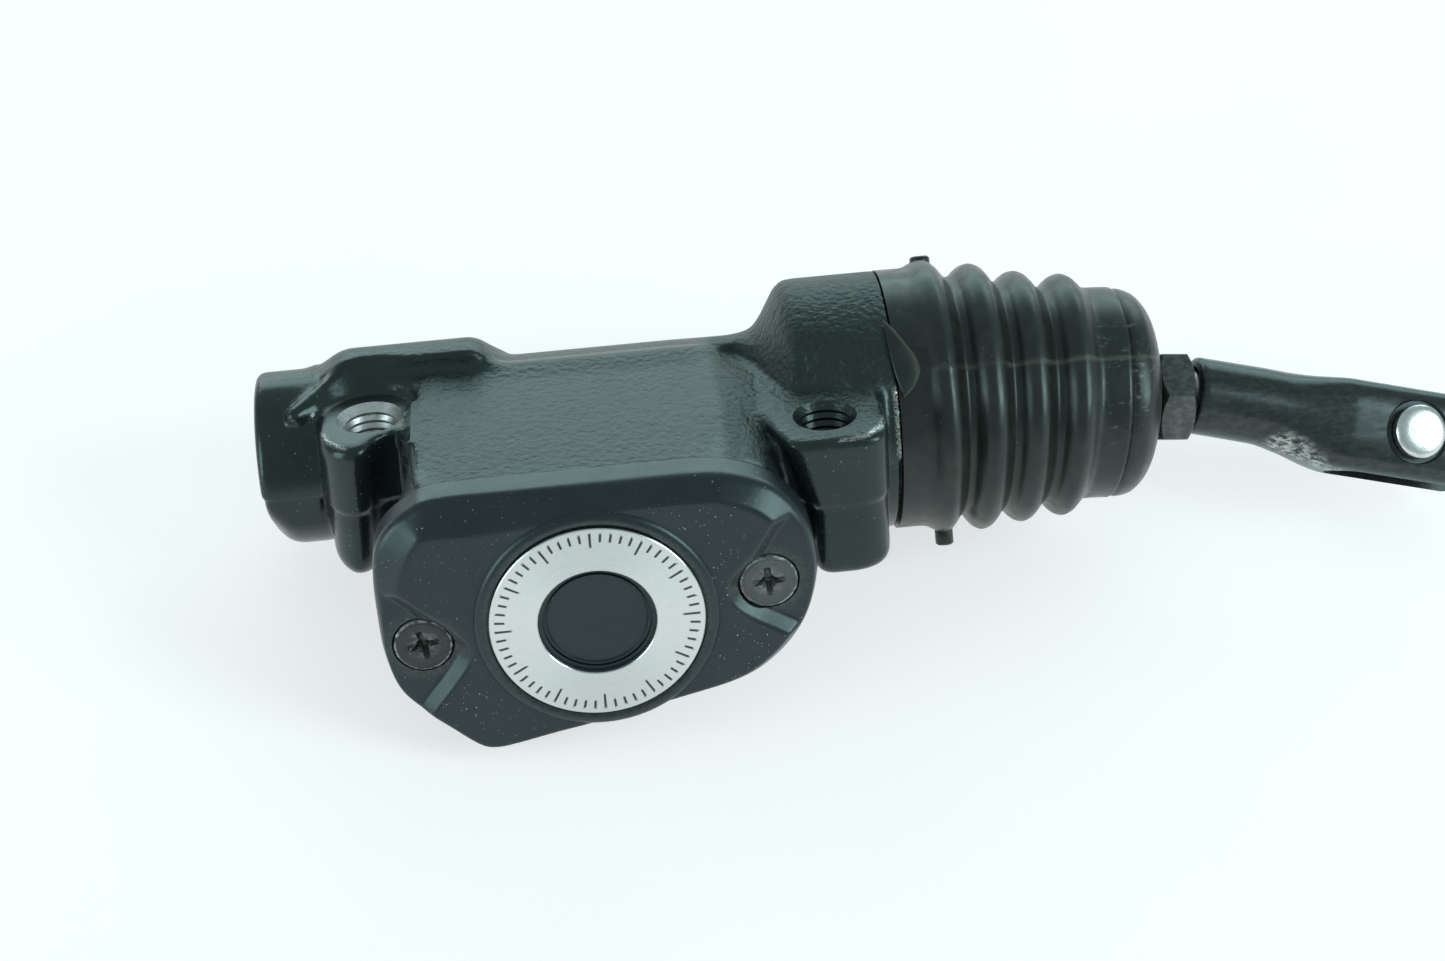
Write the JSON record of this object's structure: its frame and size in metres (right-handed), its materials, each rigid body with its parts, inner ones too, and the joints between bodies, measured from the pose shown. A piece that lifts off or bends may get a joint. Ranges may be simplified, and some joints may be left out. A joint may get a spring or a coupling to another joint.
{
  "type": "brake master cylinder",
  "caption": "Rear brake master cylinder with side fluid reservoir, threaded mounting bosses, ribbed rubber boot, push rod and clevis.",
  "frame": {"origin": "centre of the bounding box at its lowest point", "axes": "+X along the cylinder towards the push rod, -Y towards the reservoir cover, +Z out of the two mounting faces"},
  "size_m": [0.1837, 0.0618, 0.0467],
  "materials": {
    "body_paint": "satin black over cast aluminium",
    "cover_paint": "semi-matte black",
    "label_metal": "brushed",
    "black_screw": "black oxide",
    "seal_rubber": "matte",
    "boot_rubber": "satin, slightly dusty",
    "bare_steel": "satin",
    "dark_steel": "dark zinc",
    "black_oxide": "black oxide with wear streaks",
    "zinc": "bright zinc",
    "seat_brass": "plain",
    "piston_metal": "anodised"
  },
  "bodies": {
    "housing": {"cylinder_body": "body_paint", "reservoir_cover": "cover_paint", "cover_label_ring": "label_metal", "cover_screw_left": "black_screw", "cover_screw_right": "black_screw", "reservoir_diaphragm": "seal_rubber", "splash_plate": "bare_steel", "outlet_seat": "seat_brass", "piston_spring": "bare_steel", "retaining_ring": "dark_steel", "rod_retaining_washer": "bare_steel", "spring_seat_inner": "bare_steel", "return_spring": "bare_steel", "rubber_boot": "boot_rubber"},
    "piston": {"piston": "piston_metal", "primary_cup": "seal_rubber", "secondary_cup": "seal_rubber", "spring_cup": "bare_steel"},
    "rod": {"push_rod": "bare_steel", "spring_seat_outer": "bare_steel", "jam_nut": "dark_steel", "clevis": "black_oxide"},
    "pin": {"clevis_pin": "zinc", "pin_washer": "zinc", "split_pin": "zinc"}
  },
  "joints": [
    {"name": "piston_stroke", "type": "slide", "parent": "housing", "child": "piston", "axis": [-1, 0, 0], "range_m": [0, 0.009], "stiffness_N_per_m": 2500, "springref_m": -0.01, "deforming": ["return_spring", "piston_spring", "rubber_boot"]},
    {"name": "rod_swivel", "type": "hinge", "parent": "piston", "child": "rod", "pos_m": [0.00161, 0.01093, 0.0269], "axis": [0, -1, 0], "range_deg": [0, 6], "deforming": ["rubber_boot", "return_spring"]},
    {"name": "pin_spin", "type": "hinge", "parent": "rod", "child": "pin", "pos_m": [0.07811, 0.01093, 0.01219], "axis": [0.1501, -0.8387, 0.5235], "continuous": true}
  ]
}
